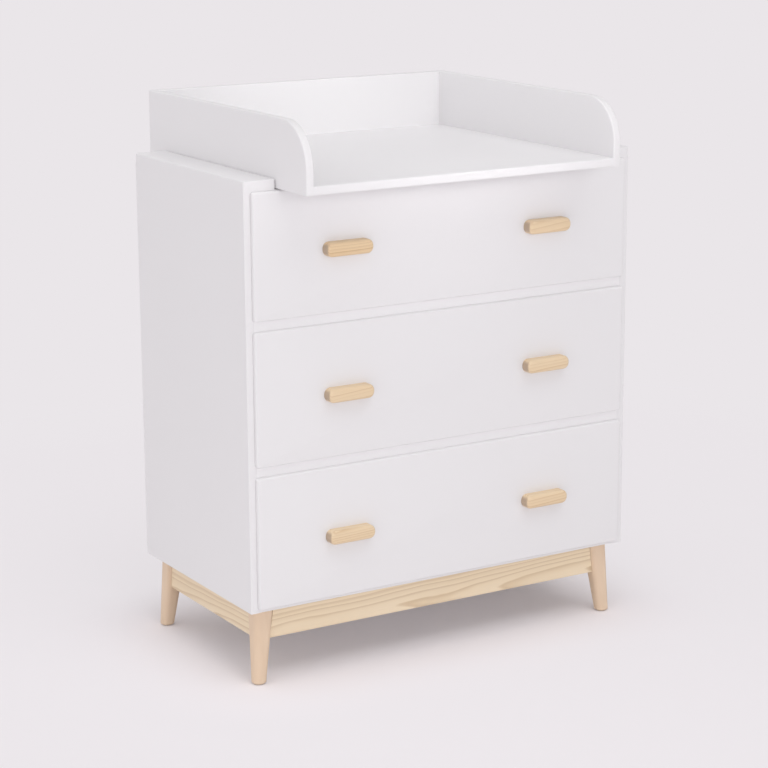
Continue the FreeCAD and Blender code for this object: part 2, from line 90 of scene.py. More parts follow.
class Sheet:
    """A node tree with short calls for its nodes and links."""

    def __init__(self, tree: bpy.types.NodeTree) -> None:
        """Work on one tree.

        Args:
            tree: The material's or group's node tree.
        """
        self.tree = tree

    def node(self, kind: str, inputs: dict | None = None, **settings: object) -> bpy.types.Node:
        """Add a node.

        Args:
            kind: The node's type name.
            inputs: What its inputs take, as for feed.
            **settings: Values of the node's own properties.

        Returns:
            The new node.
        """
        made = self.tree.nodes.new(kind)
        for name, setting in settings.items():
            setattr(made, name, setting)
        self.feed(made, inputs or {})
        return made

    def feed(self, node: bpy.types.Node, inputs: dict) -> None:
        """Link a node's inputs to outputs, or set their values.

        Args:
            node: The node.
            inputs: An output socket or a plain value for each input, by its name or place.
        """
        for key, source in inputs.items():
            if isinstance(source, bpy.types.NodeSocket):
                self.tree.links.new(source, node.inputs[key])
            else:
                node.inputs[key].default_value = source

    def math(self, operation: str, *sources: object) -> bpy.types.NodeSocket:
        """Combine values.

        Args:
            operation: The Math node's operation.
            *sources: Outputs or numbers, in the node's order.

        Returns:
            The result's output socket.
        """
        made = self.node("ShaderNodeMath", dict(enumerate(sources)), operation=operation)
        return made.outputs["Value"]

    def sway(self, value: object, pattern: object, reach: object) -> bpy.types.NodeSocket:
        """Move a value to both sides by a pattern.

        Args:
            value: The value.
            pattern: The pattern, from 0 to 1.
            reach: How far its two extremes are apart.

        Returns:
            The moved value's output socket.
        """
        return self.math("MULTIPLY_ADD", self.math("SUBTRACT", pattern, 0.5), reach, value)

    def noise(self, where: object, density: object, detail: float = 2.0,
              rough: float = 0.5) -> bpy.types.NodeSocket:
        """Add a noise pattern and give its value, from 0 to 1.

        Args:
            where: The coordinates.
            density: Features per metre, as a triple where the pattern is drawn out along an axis.
            detail: Octaves.
            rough: Weight of the finer octaves.

        Returns:
            The noise's output socket.
        """
        if isinstance(density, tuple):
            where, density = self.vector("MULTIPLY", where, density), 1.0
        values = {"Vector": where, "Scale": density, "Detail": detail, "Roughness": rough}
        return self.node("ShaderNodeTexNoise", values).outputs["Fac"]

    def vector(self, operation: str, *sources: object, result: str = "Vector") -> bpy.types.NodeSocket:
        """Combine vectors.

        Args:
            operation: The Vector Math node's operation.
            *sources: Outputs or triples, in the node's order.
            result: Name of the output, which is Value for a length or a dot product.

        Returns:
            The result's output socket.
        """
        made = self.node("ShaderNodeVectorMath", dict(enumerate(sources)), operation=operation)
        return made.outputs[result]

    def ramp(self, value: object, start: float, end: float, low: float = 0.0,
             high: float = 1.0) -> bpy.types.NodeSocket:
        """Lead a result softly from one level to another as a value passes from start to end.

        Args:
            value: The value.
            start: Value at which the ramp starts.
            end: Value at which it ends.
            low: The result at the start.
            high: The result at the end.

        Returns:
            The result's output socket.
        """
        limits = {"Value": value, "From Min": start, "From Max": end, "To Min": low, "To Max": high}
        made = self.node("ShaderNodeMapRange", limits, interpolation_type="SMOOTHSTEP")
        return made.outputs["Result"]

    def between(self, share: object, low: object, high: object) -> bpy.types.NodeSocket:
        """Blend two colours.

        Args:
            share: 0 for the first, 1 for the second.
            low: The first colour.
            high: The second colour.

        Returns:
            The blended colour.
        """
        low, high = (end if isinstance(end, bpy.types.NodeSocket) else (*end, 1.0) for end in (low, high))
        made = self.node("ShaderNodeMix", {"Factor": share, "A": low, "B": high}, data_type="RGBA")
        return made.outputs["Result"]

    def bump(self, height: bpy.types.NodeSocket, depth: float, strength: float) -> bpy.types.NodeSocket:
        """Raise a surface by a pattern.

        Args:
            height: The pattern's output.
            depth: Height of the pattern in metres.
            strength: Share of it that shows.

        Returns:
            The output socket of the surface's normal.
        """
        made = self.node("ShaderNodeBump", {"Strength": strength, "Distance": depth, "Height": height})
        return made.outputs["Normal"]


class Effects:
    """Shader groups that several materials share, each built once.

    The densities are noise features per metre, for wood first along the grain and then across it.
    """

    cloud_density: float = 3.5
    bend_density: Place = (2.2, 9.0, 9.0)
    tremor_density: Place = (14.0, 90.0, 90.0)
    fibre_density: Place = (12.0, 900.0, 900.0)
    patch_density: Place = (3.0, 22.0, 22.0)
    fibre_rough: float = 0.6
    tremor_depth: float = 1.4 * MM
    swell_density: float = 0.7  # per year
    weakest_year: float = 0.3
    year_spread: float = 0.75
    darkening: float = 3.2
    ring_end: float = 0.86

    def start(self, name: str, takes: tuple[str, ...], gives: tuple[str, ...]) -> Sheet:
        """Begin a group that works on coordinates and numbers.

        Args:
            name: The group's name.
            takes: Names of the numbers that it takes, besides the coordinates as Vector.
            gives: Names of the numbers that it gives.

        Returns:
            The sheet of the new group.
        """
        tree = bpy.data.node_groups.new(name, "ShaderNodeTree")
        tree.interface.new_socket("Vector", in_out="INPUT", socket_type="NodeSocketVector")
        for way, sockets in (("INPUT", takes), ("OUTPUT", gives)):
            for socket in sockets:
                tree.interface.new_socket(socket, in_out=way, socket_type="NodeSocketFloat")
        return Sheet(tree)

    @cached_property
    def ripple(self) -> bpy.types.NodeTree:
        """Fine waviness and faint shade of a sprayed or pressed surface."""
        sheet = self.start("surface ripple", ("Grain Size", "Roughness", "Unevenness"),
                           ("Height", "Shade", "Rough"))
        given = sheet.node("NodeGroupInput").outputs
        broad = sheet.noise(given["Vector"], self.cloud_density, detail=3.0)
        sheet.node("NodeGroupOutput", {
            "Height": sheet.noise(given["Vector"], sheet.math("DIVIDE", 1.0, given["Grain Size"])),
            "Shade": broad,
            "Rough": sheet.sway(given["Roughness"], broad, given["Unevenness"]),
        })
        return sheet.tree

    @cached_property
    def grain(self) -> bpy.types.NodeTree:
        """Growth rings and fibres of sawn wood whose pith runs along the vector's X axis."""
        sheet = self.start("wood grain", ("Ring Width", "Waviness"), ("Ring", "Fibre", "Patch"))
        given = sheet.node("NodeGroupInput").outputs
        where = given["Vector"]
        radius = sheet.vector("LENGTH", sheet.vector("MULTIPLY", where, (0.0, 1.0, 1.0)), result="Value")
        bend = sheet.noise(where, self.bend_density, detail=3.0)
        tremor = sheet.noise(where, self.tremor_density)
        bent = sheet.sway(radius, bend, given["Waviness"])
        shaken = sheet.sway(bent, tremor, self.tremor_depth)
        # years differ in width and in strength
        years = sheet.math("DIVIDE", shaken, given["Ring Width"])
        swell = sheet.node("ShaderNodeTexNoise", {"W": years, "Scale": self.swell_density},
                           noise_dimensions="1D")
        years = sheet.math("ADD", years, swell.outputs["Fac"])
        phase = sheet.math("FRACT", years)
        year = sheet.node("ShaderNodeTexWhiteNoise", {"W": sheet.math("FLOOR", years)},
                          noise_dimensions="1D")
        strength = sheet.math("MULTIPLY_ADD", year.outputs["Value"], self.year_spread, self.weakest_year)
        # a year's ring darkens slowly, then ends sharply
        dark = sheet.math("MULTIPLY", sheet.math("POWER", phase, self.darkening), strength)
        sheet.node("NodeGroupOutput", {
            "Ring": sheet.math("MULTIPLY", dark, sheet.ramp(phase, 1.0, self.ring_end)),
            "Fibre": sheet.noise(where, self.fibre_density, rough=self.fibre_rough),
            "Patch": sheet.noise(where, self.patch_density),
        })
        return sheet.tree


EFFECTS = Effects()


# ---------------------------------------------------------------- finishes


def start_material(name: str) -> tuple[bpy.types.Material, Sheet, bpy.types.Node]:
    """Start a material with one shader.

    Args:
        name: The material's name.

    Returns:
        The material, its sheet and its shader.
    """
    material = bpy.data.materials.new(name)
    material.use_nodes = True
    material.node_tree.nodes.clear()
    sheet = Sheet(material.node_tree)
    shader = sheet.node("ShaderNodeBsdfPrincipled")
    sheet.node("ShaderNodeOutputMaterial", {"Surface": shader.outputs["BSDF"]})
    return material, sheet, shader


@dataclass(frozen=True)
class Look:
    """A material and the record's slot that it stands for."""

    material: bpy.types.Material
    slot: Slot

    def give(self, piece: bpy.types.Object) -> None:
        """Dress a piece.

        Args:
            piece: The piece.
        """
        piece.data.materials.clear()
        piece.data.materials.append(self.material)


@dataclass(frozen=True)
class Finish:
    """What every finish has: a name, the record's slot, a colour and a roughness."""

    name: str
    slot: Slot
    colour: Colour
    roughness: float

    def blank(self, suffix: str = "") -> tuple[bpy.types.Material, Sheet, bpy.types.Node,
                                               bpy.types.NodeSocket]:
        """Start a material with the piece's own coordinates.

        Args:
            suffix: Added to the name, for a piece with a pattern of its own.

        Returns:
            The material, its sheet, its shader and the coordinates' socket.
        """
        material, sheet, shader = start_material(self.name + suffix)
        sheet.feed(shader, {"Base Color": (*self.colour, 1.0), "Roughness": self.roughness})
        return material, sheet, shader, sheet.node("ShaderNodeTexCoord").outputs["Object"]

    def darker(self, share: float) -> Colour:
        """Give the finish's colour, darkened to a share."""
        return tuple(channel * share for channel in self.colour)


@dataclass(frozen=True)
class Coating(Finish):
    """Paint, foil, moulded plastic or rubber: one colour with a fine surface."""

    grain_size: float = 0.002
    grain_depth: float = 0.0001
    shade: float = 0.97
    grain_strength: float = 0.35
    unevenness: float = 0.08
    coat: float = 0.0

    def look(self) -> Look:
        """Build the material.

        Returns:
            The finished look.
        """
        material, sheet, shader, where = self.blank()
        values = {"Vector": where, "Grain Size": self.grain_size, "Roughness": self.roughness,
                  "Unevenness": self.unevenness}
        ripple = sheet.node("ShaderNodeGroup", values, node_tree=EFFECTS.ripple).outputs
        sheet.feed(shader, {
            "Base Color": sheet.between(ripple["Shade"], self.colour, self.darker(self.shade)),
            "Roughness": ripple["Rough"],
            "Coat Weight": self.coat,
            "Normal": sheet.bump(ripple["Height"], self.grain_depth, self.grain_strength),
        })
        return Look(material, self.slot)


@dataclass(frozen=True)
class Steel(Finish):
    """Rolled or plated steel, brushed along the depth."""

    brush_density: Place = (900.0, 8.0, 900.0)
    brush_smear: float = 0.22
    brush_shade: float = 0.86
    brush_depth: float = 0.05 * MM
    brush_strength: float = 0.3

    def look(self) -> Look:
        """Build the material.

        Returns:
            The finished look.
        """
        material, sheet, shader, where = self.blank()
        lines = sheet.noise(where, self.brush_density)
        sheet.feed(shader, {
            "Metallic": 1.0,
            "Base Color": sheet.between(lines, self.colour, self.darker(self.brush_shade)),
            "Roughness": sheet.sway(self.roughness, lines, self.brush_smear),
            "Normal": sheet.bump(lines, self.brush_depth, self.brush_strength),
        })
        return Look(material, self.slot)


@dataclass(frozen=True)
class Wood(Finish):
    """Clear-lacquered wood with growth rings that follow each piece's length."""

    ring_colour: Colour = (0.6, 0.4, 0.2)
    patch_colour: Colour = (0.8, 0.6, 0.4)
    end_colour: Colour = (0.5, 0.38, 0.27)
    ring_width: float = 0.0075
    waviness: float = 0.016
    ring_share: float = 0.75
    fibre_share: float = 0.45
    fibre_start: float = 0.35
    fibre_shade: float = 0.8
    ring_gloss: float = 0.08
    relief_depth: float = 0.12 * MM
    relief_strength: float = 0.35
    ends: tuple[float, float] = (0.55, 0.95)
    lean: float = math.radians(2.2)

    def look(self, along: Axis, pith: Vector, suffix: str) -> Look:
        """Build the material of one sawn piece.

        Args:
            along: Direction of the grain.
            pith: A point that the tree's middle runs through.
            suffix: Name of the piece.

        Returns:
            The finished look.
        """
        material, sheet, shader, where = self.blank(f" {suffix}")
        turns = {Axis.ACROSS: (0.0, 0.0, 0.0), Axis.DEEP: (0.0, 0.0, -QUARTER_TURN),
                 Axis.UPRIGHT: (0.0, QUARTER_TURN, 0.0)}
        # the tree's middle leans a little from the board's length, which draws the rings out into arches
        turn = Euler((0.0, self.lean / 4, self.lean)).to_matrix() @ Euler(turns[along]).to_matrix()
        values = {"Vector": where, "Rotation": turn.to_euler(), "Location": -(turn @ pith)}
        mapping = sheet.node("ShaderNodeMapping", values, vector_type="POINT")
        values = {"Vector": mapping.outputs["Vector"], "Ring Width": self.ring_width,
                  "Waviness": self.waviness}
        grain = sheet.node("ShaderNodeGroup", values, node_tree=EFFECTS.grain).outputs
        ring, fibre, patch = (grain[name] for name in ("Ring", "Fibre", "Patch"))
        early = sheet.between(patch, self.colour, self.patch_colour)
        ringed = sheet.between(sheet.math("MULTIPLY", ring, self.ring_share), early, self.ring_colour)
        dash = sheet.math("MULTIPLY", sheet.math("SUBTRACT", fibre, self.fibre_start), self.fibre_share)
        fibred = sheet.between(dash, ringed, self.darker(self.fibre_shade))
        sheet.feed(shader, {
            "Base Color": sheet.between(self.end_grain(sheet, along), fibred, self.end_colour),
            "Roughness": sheet.math("MULTIPLY_ADD", ring, -self.ring_gloss, self.roughness),
            "Normal": sheet.bump(sheet.math("ADD", fibre, ring), self.relief_depth, self.relief_strength),
        })
        return Look(material, self.slot)

    def end_grain(self, sheet: Sheet, along: Axis) -> bpy.types.NodeSocket:
        """Find the sawn ends, where the wood takes in more lacquer and turns darker.

        Args:
            sheet: The material's sheet.
            along: Direction of the grain.

        Returns:
            1 on the ends and 0 on the sides.
        """
        normal = sheet.node("ShaderNodeTexCoord").outputs["Normal"]
        facing = sheet.node("ShaderNodeSeparateXYZ", {"Vector": normal})
        return sheet.ramp(sheet.math("ABSOLUTE", facing.outputs[along.value]), *self.ends)


@dataclass
class Palette:
    """Every finish of the dresser, and a lighter copy of the white lacquer for the rails whose extra
    lightness is painted light.
    """

    lacquer: Coating = Coating("white lacquer", Slot.WHITE_LACQUER, (0.835, 0.825, 0.835), 0.42,
                               grain_size=0.0016, grain_depth=0.00003, shade=0.985, coat=0.12)
    # the same white lacquer as the fronts, made lighter for the rails: painted light that stands in for
    # light in the shade under the fronts above them
    rail_lacquer_painted_light: Coating = Coating("white rail lacquer painted light", Slot.WHITE_LACQUER, (0.91, 0.90, 0.91), 0.38,
                                    grain_size=0.0016, grain_depth=0.00003, shade=0.985, coat=0.15)
    melamine: Coating = Coating("white melamine", Slot.WHITE_MELAMINE, (0.80, 0.79, 0.79), 0.55,
                                grain_size=0.0009, grain_depth=0.00005, shade=0.98)
    fibreboard: Coating = Coating("white fibreboard", Slot.WHITE_FIBREBOARD, (0.76, 0.75, 0.74), 0.62,
                                  grain_size=0.0014, grain_depth=0.00012, shade=0.95)
    plastic: Coating = Coating("glide plastic", Slot.GLIDE_PLASTIC, (0.66, 0.56, 0.45), 0.55,
                               grain_size=0.0006, grain_depth=0.00006)
    rubber: Coating = Coating("pad rubber", Slot.PAD_RUBBER, (0.62, 0.61, 0.60), 0.8,
                              grain_size=0.0005, grain_depth=0.0001)
    runner: Steel = Steel("runner steel", Slot.RUNNER_STEEL, (0.62, 0.63, 0.65), 0.3)
    zinc: Steel = Steel("zinc steel", Slot.ZINC_STEEL, (0.60, 0.61, 0.64), 0.36)
    pine: Wood = Wood("pine", Slot.PINE, (0.93, 0.79, 0.59), 0.5,
                      ring_colour=(0.51, 0.325, 0.155), patch_colour=(0.87, 0.705, 0.49),
                      ring_width=0.0050, ring_share=1.0, lean=math.radians(1.3))
    turned_pine: Wood = Wood("turned pine", Slot.PINE, (0.82, 0.645, 0.48), 0.5,
                             ring_colour=(0.70, 0.50, 0.33), patch_colour=(0.79, 0.60, 0.43),
                             ring_share=0.35, ring_width=0.009, fibre_share=0.3)
    handle_pine: Wood = Wood("handle pine", Slot.PINE, (0.85, 0.69, 0.48), 0.46,
                             ring_colour=(0.60, 0.385, 0.19), patch_colour=(0.79, 0.585, 0.37),
                             ring_width=0.0036, waviness=0.008, ring_share=1.0)
    streaked_pine: Wood = Wood("streaked pine", Slot.PINE, (0.86, 0.68, 0.45), 0.46,
                               ring_colour=(0.40, 0.19, 0.05), patch_colour=(0.76, 0.53, 0.30),
                               ring_width=0.0030, waviness=0.006, ring_share=1.0, fibre_share=0.8,
                               lean=math.radians(1.0))
    plain_wood: Wood = Wood("plain wood", Slot.PLAIN_WOOD, (0.62, 0.46, 0.29), 0.6,
                            ring_colour=(0.46, 0.31, 0.17), patch_colour=(0.58, 0.42, 0.26))


# ---------------------------------------------------------------- modelling by hand


def deselect() -> None:
    """Clear the selection in object mode."""
    bpy.ops.object.select_all(action="DESELECT")


def only(piece: bpy.types.Object) -> None:
    """Make one piece the only one selected, and active.

    Args:
        piece: The piece.
    """
    deselect()
    piece.select_set(True)
    bpy.context.view_layer.objects.active = piece


def settle(piece: bpy.types.Object) -> None:
    """Put a piece's place and size into its mesh."""
    only(piece)
    bpy.ops.object.transform_apply(location=True, rotation=True, scale=True)


def block(name: str, span: Span) -> bpy.types.Object:
    """Add a block between two corners.

    Args:
        name: Name of the piece.
        span: Its lowest and highest corners.

    Returns:
        The block, with its place in its mesh.
    """
    deselect()
    bpy.ops.mesh.primitive_cube_add(size=1.0, location=(span[0] + span[1]) / 2)
    piece = bpy.context.active_object
    piece.name = name
    piece.data.name = name
    piece.scale = span[1] - span[0]
    settle(piece)
    return piece


def round_edges(piece: bpy.types.Object, radius: float, segments: int, chosen: EdgeTest) -> None:
    """Bevel the edges that a test picks by their two ends.

    Args:
        piece: The piece to shape.
        radius: Radius of the rounding.
        segments: Steps of the rounding.
        chosen: Test of an edge's two ends.
    """
    only(piece)
    bpy.ops.object.mode_set(mode="EDIT")
    bpy.ops.mesh.select_mode(type="EDGE")
    bpy.ops.mesh.select_all(action="DESELECT")
    mesh = bmesh.from_edit_mesh(piece.data)
    for edge in mesh.edges:
        if chosen(edge.verts[0].co, edge.verts[1].co):
            edge.select_set(True)
    bmesh.update_edit_mesh(piece.data)
    bpy.ops.mesh.bevel(offset=radius, segments=segments, affect="EDGES", profile=0.5, clamp_overlap=True)
    bpy.ops.object.mode_set(mode="OBJECT")


class Carve(Enum):
    """What a tool does to a piece."""

    CUT = "DIFFERENCE"
    FILL = "UNION"


def carve_with(piece: bpy.types.Object, tool: bpy.types.Object, what: Carve = Carve.CUT) -> None:
    """Take a tool's shape out of a piece or add it, and remove the tool.

    Args:
        piece: The piece.
        tool: The shape to take out or add.
        what: Which of the two.
    """
    only(piece)
    carve = piece.modifiers.new("carve", "BOOLEAN")
    carve.operation = what.value
    carve.solver = "EXACT"
    carve.object = tool
    bpy.ops.object.modifier_apply(modifier=carve.name)
    only(tool)
    bpy.ops.object.delete()
    only(piece)


def smooth(piece: bpy.types.Object, angle: float = 40.0) -> None:
    """Shade a piece smoothly across its shallow edges.

    Args:
        piece: The piece.
        angle: Edges below this many degrees are smooth.
    """
    only(piece)
    bpy.ops.object.shade_smooth_by_angle(angle=math.radians(angle))


def at(level: float, axis: Axis) -> EdgeTest:
    """Test for edges that lie at one level.

    Args:
        level: The level in metres.
        axis: The axis that it is measured on.

    Returns:
        The test.
    """
    def test(first: Vector, second: Vector) -> bool:
        """Compare both ends with the level."""
        return all(abs(end[axis.value] - level) < SAME_LEVEL for end in (first, second))
    return test


def along(axis: Axis) -> EdgeTest:
    """Test for edges parallel to one axis.

    Args:
        axis: The axis.

    Returns:
        The test.
    """
    def test(first: Vector, second: Vector) -> bool:
        """Compare the edge's direction with the axis."""
        return abs((second - first).normalized()[axis.value]) > PARALLEL
    return test


def both(first: EdgeTest, second: EdgeTest) -> EdgeTest:
    """Join two tests of an edge's ends into one that asks for both."""
    return lambda start, end: first(start, end) and second(start, end)


def report(piece: bpy.types.Object) -> None:
    """Log a finished piece."""
    LOG.info("%s: %d faces", piece.name, len(piece.data.polygons))


def stand_in(piece: bpy.types.Object, node: str, body: str, look: Look) -> None:
    """Shade and dress a modelled piece, and let it take a solid's place on its body.

    Args:
        piece: The piece.
        node: The solid that it replaces.
        body: The body that it rides on.
        look: Its look.
    """
    smooth(piece)
    look.give(piece)
    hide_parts(node)
    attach(piece, body)
    report(piece)


# ---------------------------------------------------------------- sub-assemblies


@dataclass
class Carcass:
    """Sides, top, bottom, rails, back and the strips beside the tray."""

    palette: Palette
    kept: tuple[str, ...] = ("top_panel", "bottom_panel")
    rails: tuple[str, ...] = ("rail_lower", "rail_upper")
    panel_soft: float = 1.5 * MM
    strip_corner: float = 4 * MM
    strip_soft: float = 2.5 * MM
    steps: int = 5
    groove_play: float = 0.1 * MM

    def build(self) -> None:
        """Model the sides and strips, and dress the other boards and the back."""
        lacquer = self.palette.lacquer.look()
        # the rails' lighter lacquer is painted light, set against the shade that the fronts above cast on
        # the rails
        painted_light_look = self.palette.rail_lacquer_painted_light.look()
        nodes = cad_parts
        for names, look in ((self.kept, lacquer), (self.rails, painted_light_look)):
            for name in names:
                look.give(nodes[name])
        for side in ("left", "right"):
            self.side(f"side_panel_{side}", lacquer)
            self.strip(f"top_strip_{side}", lacquer)
        self.palette.fibreboard.look().give(nodes["back_panel"])

    def side(self, node: str, look: Look) -> None:
        """Model a side: soft outer corners, sharp where the rails meet it, and a groove for the back.

        Args:
            node: The side's solid.
            look: Its look.
        """
        low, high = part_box(node)
        piece = block(f"{node}_board", (low, high))
        outer = low.x if abs(low.x) > abs(high.x) else high.x
        for edges in (along(Axis.UPRIGHT), at(low.z, Axis.UPRIGHT)):
            round_edges(piece, self.panel_soft, self.steps, both(edges, at(outer, Axis.ACROSS)))
        back_low, back_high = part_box("back_panel")
        play = Vector((self.groove_play,) * 3)
        carve_with(piece, block("groove", (Vector((back_low.x, back_low.y, low.z)) - play,
                                           Vector((back_high.x, back_high.y, high.z)) + play)))
        stand_in(piece, node, "carcass", look)

    def strip(self, node: str, look: Look) -> None:
        """Model a strip with round upright corners and a soft top edge.

        Args:
            node: The strip's solid.
            look: Its look.
        """
        low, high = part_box(node)
        piece = block(f"{node}_board", (low, high))
        round_edges(piece, self.strip_corner, self.steps, along(Axis.UPRIGHT))
        round_edges(piece, self.strip_soft, self.steps, at(high.z, Axis.UPRIGHT))
        stand_in(piece, node, "carcass", look)


@dataclass
class Base:
    """Pine legs and aprons with their braces, bolts and glides."""

    palette: Palette
    leg_top: float = 38 * MM
    leg_foot: float = 25 * MM
    leg_soft: float = 11 * MM
    leg_steps: int = 10
    foot_soft: float = 1.8 * MM
    foot_steps: int = 4
    # the tree's middle, from each piece's own middle, and its move from one piece to the next
    leg_pith: Place = (50 * MM, 70 * MM, 0.0)
    leg_pith_step: Place = (-20 * MM, 0.0, 410 * MM)
    long_apron_pith: Place = (0.0, 30 * MM, -22 * MM)
    short_apron_pith: Place = (35 * MM, 0.0, -30 * MM)
    apron_pith_step: Place = (370 * MM, 190 * MM, 290 * MM)
    crosswise: float = 0.05  # share of that move which is made across the grain
    brace_pith: Place = (0.0, 0.0, 100 * MM)

    def build(self) -> None:
        """Model the legs and dress the other pieces, each with the grain along its length."""
        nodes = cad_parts
        for index, corner in enumerate(("front_left", "front_right", "rear_left", "rear_right")):
            self.leg(f"leg_{corner}", index)
        for index, (long_side, short_side) in enumerate((("front", "left"), ("rear", "right"))):
            self.dress(nodes[f"apron_{long_side}"], Axis.ACROSS, Vector(self.long_apron_pith), index)
            self.dress(nodes[f"apron_{short_side}"], Axis.DEEP, Vector(self.short_apron_pith), index)
        low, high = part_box("corner_braces")
        pith = (low + high) / 2 + Vector(self.brace_pith)
        self.palette.plain_wood.look(Axis.ACROSS, pith, "braces").give(nodes["corner_braces"])
        self.palette.zinc.look().give(nodes["hanger_bolts"])
        self.palette.plastic.look().give(nodes["floor_glides"])

    def leg(self, node: str, index: int) -> None:
        """Model a leg that tapers and splays to a soft-edged foot.

        Args:
            node: The leg's solid.
            index: Number of the leg, which shifts its grain.
        """
        low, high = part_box(node)
        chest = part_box("bottom_panel")
        middle = (chest[0] + chest[1]) / 2
        signs = [1.0 if low[axis] > middle[axis] else -1.0 for axis in (0, 1)]
        # the top stands at the box's inner corner and the foot at its outer corner
        top, foot = Vector((0.0, 0.0, high.z)), Vector((0.0, 0.0, low.z))
        for axis, sign in enumerate(signs):
            inner, outer = (low[axis], high[axis]) if sign > 0 else (high[axis], low[axis])
            top[axis] = inner + sign * self.leg_top / 2
            foot[axis] = outer - sign * self.leg_foot / 2
        half = Vector((self.leg_top / 2, self.leg_top / 2, 0.0))
        piece = block(f"{node}_turned", (Vector((top.x, top.y, low.z)) - half, top + half))
        self.splay(piece, Vector((top.x, top.y, low.z)), foot)
        round_edges(piece, self.leg_soft, self.leg_steps,
                    lambda first, second: abs(first.z - second.z) > (high.z - low.z) / 2)
        round_edges(piece, self.foot_soft, self.foot_steps, at(low.z, Axis.UPRIGHT))
        pith = (top + foot) / 2 + Vector(self.leg_pith) + Vector(self.leg_pith_step) * index
        stand_in(piece, node, "carcass", self.palette.turned_pine.look(Axis.UPRIGHT, pith, piece.name))

    def splay(self, piece: bpy.types.Object, under: Vector, foot: Vector) -> None:
        """Draw a block's lower end in to the foot's size and out to its place.

        Args:
            piece: The block.
            under: Middle of its lower end.
            foot: Middle of the foot.
        """
        only(piece)
        bpy.ops.object.mode_set(mode="EDIT")
        bpy.ops.mesh.select_mode(type="VERT")
        bpy.ops.mesh.select_all(action="DESELECT")
        mesh = bmesh.from_edit_mesh(piece.data)
        for corner in mesh.verts:
            corner.select_set(abs(corner.co.z - under.z) < SAME_LEVEL)
        mesh.select_flush(True)
        bmesh.update_edit_mesh(piece.data)
        share = self.leg_foot / self.leg_top
        bpy.ops.transform.resize(value=(share, share, 1.0), center_override=under)
        bpy.ops.transform.translate(value=foot - under)
        bpy.ops.object.mode_set(mode="OBJECT")

    def dress(self, node: bpy.types.Object, along_axis: Axis, pith: Vector, index: int) -> None:
        """Dress one pine piece.

        Args:
            node: The piece.
            along_axis: Direction of its grain.
            pith: The tree's middle, measured from the piece's middle.
            index: Number of the piece, which shifts its pattern.
        """
        low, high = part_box(node.name)
        shift = Vector(self.apron_pith_step) * index
        for axis in Axis:
            if axis is not along_axis:
                shift[axis.value] *= self.crosswise
        tree_middle = (low + high) / 2 + pith + shift
        self.palette.pine.look(along_axis, tree_middle, node.name).give(node)


@dataclass
class Screw:
    """Pan-head screw with a cross recess, which holds a handle from inside the drawer."""

    palette: Palette
    radius: float = 4 * MM
    height: float = 2.4 * MM
    dome: float = 1.5 * MM
    slot_long: float = 4.4 * MM
    slot_wide: float = 1.1 * MM
    slot_deep: float = 1.5 * MM
    sides: int = 32
    dome_steps: int = 5
    smooth_angle: float = 35.0

    def model(self) -> bpy.types.Object:
        """Model one head that points to the rear, with its seat at the origin.

        Returns:
            The head.
        """
        deselect()
        bpy.ops.mesh.primitive_cylinder_add(vertices=self.sides, radius=self.radius, depth=self.height,
                                            location=(0.0, self.height / 2, 0.0),
                                            rotation=(QUARTER_TURN, 0.0, 0.0))
        head = bpy.context.active_object
        settle(head)
        round_edges(head, self.dome, self.dome_steps, at(self.height, Axis.DEEP))
        for wide, high in ((self.slot_long, self.slot_wide), (self.slot_wide, self.slot_long)):
            start = Vector((-wide / 2, self.height - self.slot_deep, -high / 2))
            end = Vector((wide / 2, self.height + self.slot_deep, high / 2))
            carve_with(head, block("recess", (start, end)))
        smooth(head, self.smooth_angle)
        self.palette.zinc.look().give(head)
        return head


@dataclass
class Handle:
    """Pine bar handle with round corners and soft front edges."""

    palette: Palette
    corner: float = 11.5 * MM
    soft: float = 5 * MM
    corner_steps: int = 10
    soft_steps: int = 5
    streaked: int = 4  # number of the handle that is cut from wood with stronger streaks
    # the tree's middle, from each handle's own middle, and its move from one handle to the next
    pith: Place = (0.0, 20 * MM, -45 * MM)
    pith_step: Place = (310 * MM, 4 * MM, 0.0)
    pith_rise: float = 10 * MM
    rises: int = 3

    def build(self, node: str, body: str, index: int) -> None:
        """Model one handle over its solid.

        Args:
            node: The solid's name.
            body: The drawer that it rides on.
            index: Number of the handle, which shifts its grain.
        """
        low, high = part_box(node)
        piece = block(f"{node}_bar", (low, high))
        round_edges(piece, self.corner, self.corner_steps, along(Axis.DEEP))
        round_edges(piece, self.soft, self.soft_steps, at(low.y, Axis.DEEP))
        pith = (low + high) / 2 + Vector(self.pith) + Vector(self.pith_step) * index
        pith.z += self.pith_rise * (index % self.rises)
        wood = self.palette.streaked_pine if index == self.streaked else self.palette.handle_pine
        stand_in(piece, node, body, wood.look(Axis.ACROSS, pith, piece.name))


